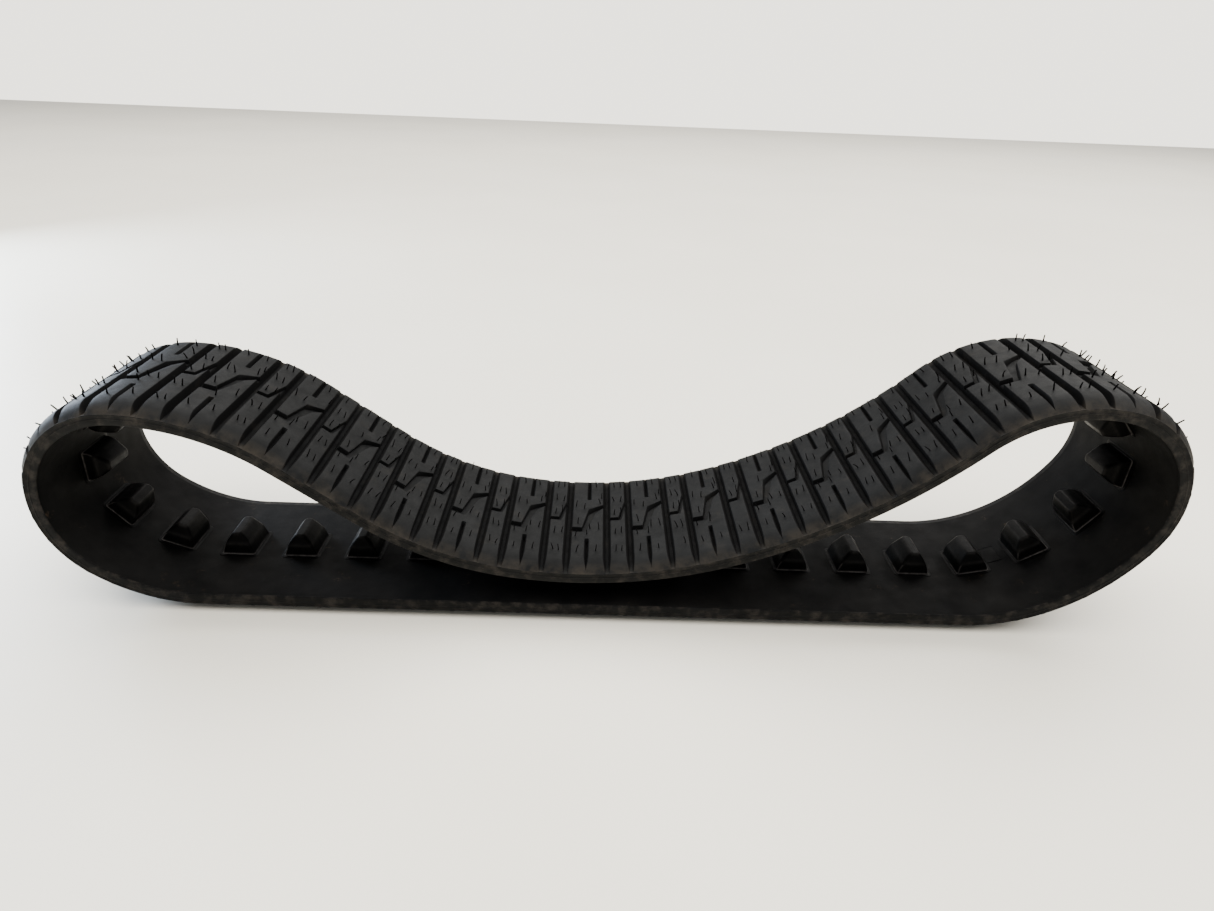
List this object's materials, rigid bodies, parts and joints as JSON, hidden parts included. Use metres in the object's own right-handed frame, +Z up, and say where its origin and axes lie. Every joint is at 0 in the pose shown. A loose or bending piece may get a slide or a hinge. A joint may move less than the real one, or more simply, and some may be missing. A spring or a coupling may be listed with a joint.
{
  "type": "rubber track",
  "caption": "Endless rubber track lying slack, block tread outside, one row of moulded drive lugs inside, a curl at each end and a sagging top run.",
  "frame": {"origin": "on the ground under the lug nearest the middle of the bottom run, at the middle of the belt's width", "axes": "+X along the bottom run towards the taller curl, +Y across the belt, +Z up"},
  "size_m": [1.6919, 0.28, 0.4017],
  "materials": {
    "cover_rubber": "matte",
    "tread_rubber": "satin",
    "lug_rubber": "satin",
    "cord_ply": "matte"
  },
  "bodies": {
    "bottom": {"wheel_side_cover_bottom": "cover_rubber", "steel_cord_ply_bottom": "cord_ply", "tread_cover_bottom": "tread_rubber", "drive_lugs_bottom": "lug_rubber"},
    "right_1": {"wheel_side_cover_right_1": "cover_rubber", "steel_cord_ply_right_1": "cord_ply", "tread_cover_right_1": "tread_rubber", "drive_lugs_right_1": "lug_rubber"},
    "right_2": {"wheel_side_cover_right_2": "cover_rubber", "steel_cord_ply_right_2": "cord_ply", "tread_cover_right_2": "tread_rubber", "drive_lugs_right_2": "lug_rubber"},
    "right_3": {"wheel_side_cover_right_3": "cover_rubber", "steel_cord_ply_right_3": "cord_ply", "tread_cover_right_3": "tread_rubber", "drive_lugs_right_3": "lug_rubber"},
    "right_4": {"wheel_side_cover_right_4": "cover_rubber", "steel_cord_ply_right_4": "cord_ply", "tread_cover_right_4": "tread_rubber", "drive_lugs_right_4": "lug_rubber"},
    "right_5": {"wheel_side_cover_right_5": "cover_rubber", "steel_cord_ply_right_5": "cord_ply", "tread_cover_right_5": "tread_rubber", "drive_lugs_right_5": "lug_rubber"},
    "right_6": {"wheel_side_cover_right_6": "cover_rubber", "steel_cord_ply_right_6": "cord_ply", "tread_cover_right_6": "tread_rubber", "drive_lugs_right_6": "lug_rubber"},
    "left_1": {"wheel_side_cover_left_1": "cover_rubber", "steel_cord_ply_left_1": "cord_ply", "tread_cover_left_1": "tread_rubber", "drive_lugs_left_1": "lug_rubber"},
    "left_2": {"wheel_side_cover_left_2": "cover_rubber", "steel_cord_ply_left_2": "cord_ply", "tread_cover_left_2": "tread_rubber", "drive_lugs_left_2": "lug_rubber"},
    "left_3": {"wheel_side_cover_left_3": "cover_rubber", "steel_cord_ply_left_3": "cord_ply", "tread_cover_left_3": "tread_rubber", "drive_lugs_left_3": "lug_rubber"},
    "left_4": {"wheel_side_cover_left_4": "cover_rubber", "steel_cord_ply_left_4": "cord_ply", "tread_cover_left_4": "tread_rubber", "drive_lugs_left_4": "lug_rubber"},
    "left_5": {"wheel_side_cover_left_5": "cover_rubber", "steel_cord_ply_left_5": "cord_ply", "tread_cover_left_5": "tread_rubber", "drive_lugs_left_5": "lug_rubber"},
    "left_6": {"wheel_side_cover_left_6": "cover_rubber", "steel_cord_ply_left_6": "cord_ply", "tread_cover_left_6": "tread_rubber", "drive_lugs_left_6": "lug_rubber"}
  },
  "joints": [
    {"name": "right_flex_1", "type": "hinge", "parent": "bottom", "child": "right_1", "pos_m": [0.57019, 0, 0.02666], "axis": [0, -1, 0], "range_deg": [0, 20.94], "stiffness_Nm_per_rad": 80, "springref_deg": -5.35},
    {"name": "right_flex_2", "type": "hinge", "parent": "right_1", "child": "right_2", "pos_m": [0.75072, 0, 0.10983], "axis": [0, -1, 0], "range_deg": [-19.71, 0.02], "stiffness_Nm_per_rad": 80, "springref_deg": -20.29},
    {"name": "right_flex_3", "type": "hinge", "parent": "right_2", "child": "right_3", "pos_m": [0.79943, 0, 0.29336], "axis": [0, -1, 0], "range_deg": [-7.33, 0.02], "stiffness_Nm_per_rad": 80, "springref_deg": -23.97},
    {"name": "right_flex_4", "type": "hinge", "parent": "right_3", "child": "right_4", "pos_m": [0.62871, 0, 0.37336], "axis": [0, -1, 0], "range_deg": [-0.02, 2.52], "stiffness_Nm_per_rad": 80, "springref_deg": -14.78},
    {"name": "right_flex_5", "type": "hinge", "parent": "right_4", "child": "right_5", "pos_m": [0.45895, 0, 0.26822], "axis": [0, -1, 0], "range_deg": [-0.02, 1.16], "stiffness_Nm_per_rad": 80, "springref_deg": -7.7},
    {"name": "right_flex_6", "type": "hinge", "parent": "right_5", "child": "right_6", "pos_m": [0.28718, 0, 0.16043], "axis": [0, -1, 0], "range_deg": [-0.02, 3.56], "stiffness_Nm_per_rad": 80, "springref_deg": -2.98},
    {"name": "left_flex_1", "type": "hinge", "parent": "bottom", "child": "left_1", "pos_m": [-0.64895, 0, 0.02733], "axis": [0, -1, 0], "range_deg": [-0.02, 8.28], "stiffness_Nm_per_rad": 80, "springref_deg": 11.01},
    {"name": "left_flex_2", "type": "hinge", "parent": "left_1", "child": "left_2", "pos_m": [-0.81583, 0, 0.12783], "axis": [0, -1, 0], "range_deg": [-0.02, 9.33], "stiffness_Nm_per_rad": 80, "springref_deg": 23.75},
    {"name": "left_flex_3", "type": "hinge", "parent": "left_2", "child": "left_3", "pos_m": [-0.75678, 0, 0.30268], "axis": [0, -1, 0], "range_deg": [-4.05, 0.02], "stiffness_Nm_per_rad": 80, "springref_deg": 20.49},
    {"name": "left_flex_4", "type": "hinge", "parent": "left_3", "child": "left_4", "pos_m": [-0.55975, 0, 0.29177], "axis": [0, -1, 0], "range_deg": [-3.95, 0.02], "stiffness_Nm_per_rad": 80, "springref_deg": 11.05},
    {"name": "left_flex_5", "type": "hinge", "parent": "left_4", "child": "left_5", "pos_m": [-0.38873, 0, 0.18289], "axis": [0, -1, 0], "range_deg": [-2.05, 0.02], "stiffness_Nm_per_rad": 80, "springref_deg": 5.12},
    {"name": "left_flex_6", "type": "hinge", "parent": "left_5", "child": "left_6", "pos_m": [-0.20665, 0, 0.09567], "axis": [0, -1, 0], "range_deg": [-6.47, 0.02], "stiffness_Nm_per_rad": 80, "springref_deg": 1.38}
  ],
  "couplings": [
    {"joint": "right_flex_2", "follows": "right_flex_1", "ratio": -0.9403},
    {"joint": "right_flex_3", "follows": "right_flex_1", "ratio": -0.34892},
    {"joint": "right_flex_4", "follows": "right_flex_1", "ratio": 0.11959},
    {"joint": "right_flex_5", "follows": "right_flex_1", "ratio": 0.054488},
    {"joint": "right_flex_6", "follows": "right_flex_1", "ratio": 0.16912},
    {"joint": "left_flex_1", "follows": "right_flex_1", "ratio": 0.3943},
    {"joint": "left_flex_2", "follows": "right_flex_1", "ratio": 0.44474},
    {"joint": "left_flex_3", "follows": "right_flex_1", "ratio": -0.19244},
    {"joint": "left_flex_4", "follows": "right_flex_1", "ratio": -0.18766},
    {"joint": "left_flex_5", "follows": "right_flex_1", "ratio": -0.09702},
    {"joint": "left_flex_6", "follows": "right_flex_1", "ratio": -0.30791}
  ]
}
